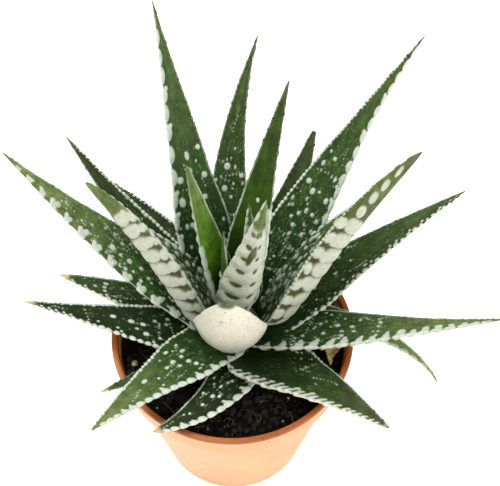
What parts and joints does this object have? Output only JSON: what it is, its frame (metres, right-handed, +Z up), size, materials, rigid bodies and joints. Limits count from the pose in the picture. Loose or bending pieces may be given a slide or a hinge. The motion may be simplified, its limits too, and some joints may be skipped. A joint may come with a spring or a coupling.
{
  "type": "potted haworthia",
  "caption": "Rosette succulent with long pointed leaves banded in white warts, rooted in soil in a small round nursery pot.",
  "frame": {"origin": "centre of the pot's foot, on the surface that it stands on", "axes": "+Z up along the pot's axis; the picture looks along +Y and down, with +X to its right"},
  "size_m": [0.1387, 0.1017, 0.1359],
  "materials": {
    "pot": "thin terracotta-coloured plastic, satin, paler on the collar",
    "soil": "moist peat potting mix with fibres and small pale flecks",
    "stem": "pale fleshy stem, hidden by the leaf feet",
    "leaf": "dark green succulent skin, satin, with raised white warts in bands",
    "young_leaf": "bright green succulent skin with few warts",
    "banded_leaf": "underside of a leaf, nearly covered with merged cream-white warts in bands"
  },
  "bodies": {
    "root": {"pot": "pot", "soil": "soil", "stem": "stem", "leaf_inner_banded": "banded_leaf", "leaf_heart_sliver": "young_leaf", "leaf_heart_bud": "young_leaf", "leaf_inner_left": "young_leaf", "leaf_inner_back": "young_leaf", "leaf_inner_front": "banded_leaf", "leaf_mid_left_banded": "banded_leaf", "leaf_mid_right_banded": "banded_leaf", "leaf_mid_back_left": "leaf", "leaf_mid_back": "leaf", "leaf_mid_back_right": "leaf", "leaf_mid_left": "leaf", "leaf_mid_far_left": "leaf", "leaf_low_back_right": "leaf", "leaf_low_back_left": "leaf", "leaf_low_right_back": "leaf", "leaf_low_right": "leaf", "leaf_low_front_left": "leaf", "leaf_low_front_right": "leaf", "leaf_low_left": "leaf", "leaf_base_left": "leaf", "leaf_base_front": "leaf", "leaf_base_front_right": "leaf", "leaf_base_right": "leaf", "leaf_base_old": "leaf", "leaf_base_back": "leaf", "leaf_base_back_right": "leaf"}
  },
  "joints": []
}
